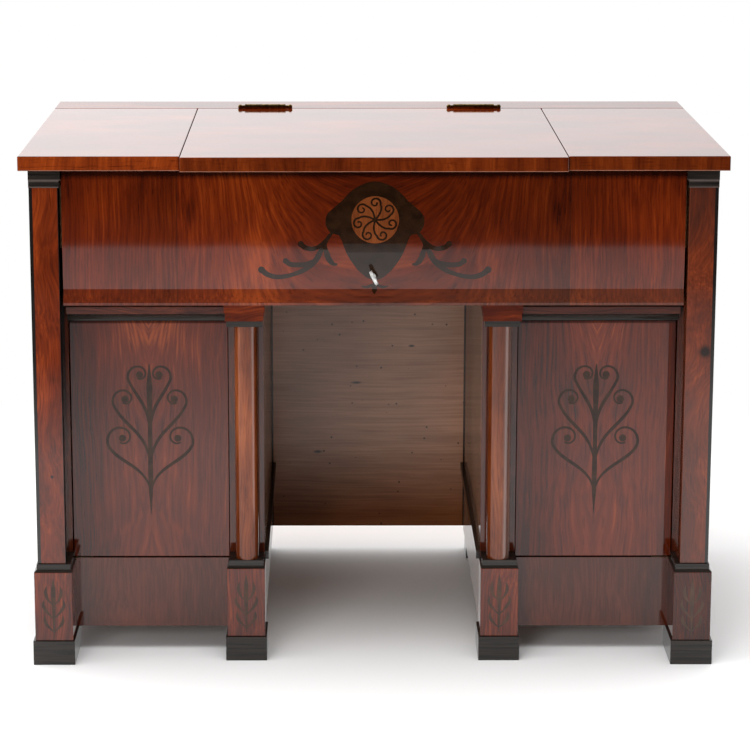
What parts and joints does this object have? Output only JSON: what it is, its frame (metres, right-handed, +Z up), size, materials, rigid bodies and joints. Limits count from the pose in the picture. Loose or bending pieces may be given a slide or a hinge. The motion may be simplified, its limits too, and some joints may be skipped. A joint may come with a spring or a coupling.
{
  "type": "dressing desk",
  "caption": "Freestanding dressing desk with a lift-up mirrored lid, side flaps, a key-locked frieze drawer and pedestal cupboards behind round columns beside a kneehole.",
  "frame": {"origin": "on the floor, at the bottom centre of the desk's overall box", "axes": "+Z up, +X to the right of someone facing the front, the front (drawer and doors) towards -Y"},
  "size_m": [1.1, 0.7061, 0.831],
  "materials": {
    "mahogany": "french polished veneer",
    "ebonised_wood": "black polish",
    "inner_wood": "plain oiled",
    "back_board": "unpolished, aged",
    "brass": "aged, polished edges",
    "steel": "worn",
    "mirror_glass": "silvered"
  },
  "bodies": {
    "carcase": {"rear_top_strip": "mahogany", "side_panel_left": "mahogany", "side_panel_right": "mahogany", "pilaster_left": "mahogany", "pilaster_right": "mahogany", "pilaster_plinth_left": "mahogany", "pilaster_plinth_right": "mahogany", "column_left": "mahogany", "column_right": "mahogany", "column_plinth_left": "mahogany", "column_plinth_right": "mahogany", "column_capitals": "mahogany", "lower_rails": "mahogany", "door_jambs": "mahogany", "column_stiles": "mahogany", "door_fillets": "mahogany", "kneehole_wall_left": "mahogany", "kneehole_wall_right": "mahogany", "cupboard_top_rails": "mahogany", "pilaster_bases": "ebonised_wood", "pilaster_capitals": "ebonised_wood", "column_bases": "ebonised_wood", "column_neckings": "ebonised_wood", "front_feet": "ebonised_wood", "rear_feet": "ebonised_wood", "door_hollows": "ebonised_wood", "kneehole_base_mouldings": "ebonised_wood", "carrier_board": "inner_wood", "cupboard_floors": "inner_wood", "cupboard_shelves": "inner_wood", "well_floor": "inner_wood", "well_front_wall": "inner_wood", "well_back_wall": "inner_wood", "well_partitions": "inner_wood", "drawer_guides": "inner_wood", "back_panel": "back_board", "lid_hinge_strip_leaves": "brass", "hinge_pins": "brass", "flap_hinge_side_leaves": "brass", "door_pivot_frame_plates": "brass"},
    "lid": {"lid": "mahogany", "lid_hinge_lid_leaves": "brass", "mirror_frame": "inner_wood", "mirror": "mirror_glass"},
    "flap_left": {"flap_left": "mahogany", "flap_hinge_leaves_left": "brass"},
    "flap_right": {"flap_right": "mahogany", "flap_hinge_leaves_right": "brass"},
    "door_left": {"door_left": "mahogany", "door_pivot_plates_left": "brass"},
    "door_right": {"door_right": "mahogany", "door_pivot_plates_right": "brass"},
    "drawer": {"drawer_front": "mahogany", "drawer_sides": "inner_wood", "drawer_back": "inner_wood", "drawer_bottom": "inner_wood", "lock_case": "steel", "lock_screws": "steel"},
    "key": {"key": "steel"},
    "lock_bolt": {"lock_bolt": "steel"}
  },
  "joints": [
    {"name": "lid_hinge", "type": "hinge", "parent": "carcase", "child": "lid", "pos_m": [0, 0.2525, 0.8265], "axis": [-1, 0, 0], "range_deg": [0, 105]},
    {"name": "flap_right_hinge", "type": "hinge", "parent": "carcase", "child": "flap_right", "pos_m": [0.5391, 0, 0.7973], "axis": [0, 1, 0], "range_deg": [0, 120]},
    {"name": "flap_left_hinge", "type": "hinge", "parent": "carcase", "child": "flap_left", "pos_m": [-0.5391, 0, 0.7973], "axis": [0, -1, 0], "range_deg": [0, 120]},
    {"name": "door_right_pivot", "type": "hinge", "parent": "carcase", "child": "door_right", "pos_m": [0.478, -0.2475, 0.35], "axis": [0, 0, 1], "range_deg": [0, 90]},
    {"name": "door_left_pivot", "type": "hinge", "parent": "carcase", "child": "door_left", "pos_m": [-0.478, -0.2475, 0.35], "axis": [0, 0, -1], "range_deg": [0, 90]},
    {"name": "drawer_slide", "type": "slide", "parent": "carcase", "child": "drawer", "axis": [0, -1, 0], "range_m": [0, 0.4]},
    {"name": "key_turn", "type": "hinge", "parent": "drawer", "child": "key", "pos_m": [0, -0.32, 0.6335], "axis": [0, 1, 0], "range_deg": [0, 180]},
    {"name": "bolt_slide", "type": "slide", "parent": "drawer", "child": "lock_bolt", "axis": [0, 0, 1], "range_m": [0, 0.009]}
  ],
  "couplings": [
    {"joint": "bolt_slide", "follows": "key_turn", "m_per_rad": 0.0028647}
  ]
}
